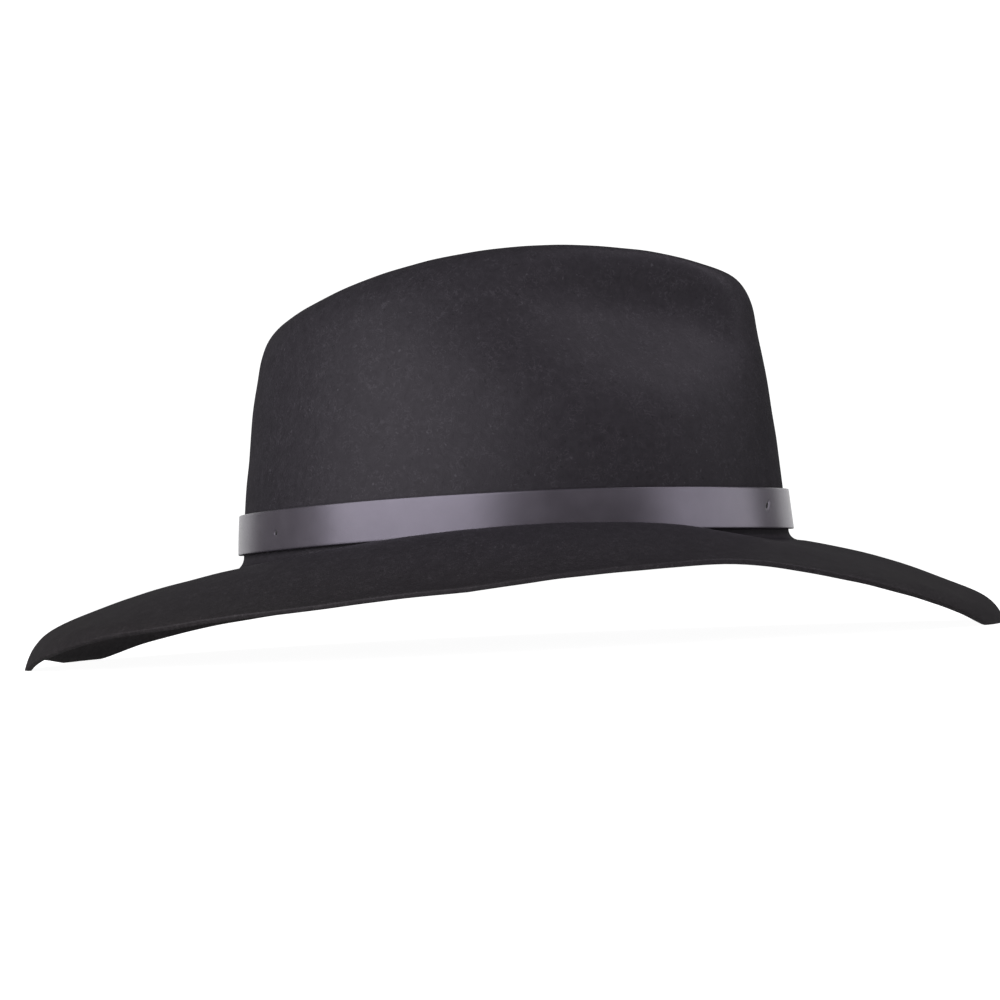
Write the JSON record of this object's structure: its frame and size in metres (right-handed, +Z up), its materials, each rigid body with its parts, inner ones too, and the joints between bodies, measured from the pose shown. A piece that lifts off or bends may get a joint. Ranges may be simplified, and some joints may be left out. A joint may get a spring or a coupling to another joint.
{
  "type": "fedora hat",
  "caption": "Wide-brimmed felt hat with a creased and pinched crown, a down-turned brim and a plain leather strap band.",
  "frame": {"origin": "centre of the hat's outline on the surface that it rests on", "axes": "+X towards the front of the hat, -Y towards its right-hand side, +Z up"},
  "size_m": [0.3644, 0.312, 0.1455],
  "materials": {
    "felt": "matte brushed felt",
    "leather": "smooth semi-matte"
  },
  "bodies": {
    "root": {"crown_and_brim": "felt", "hat_band": "leather"}
  },
  "joints": []
}
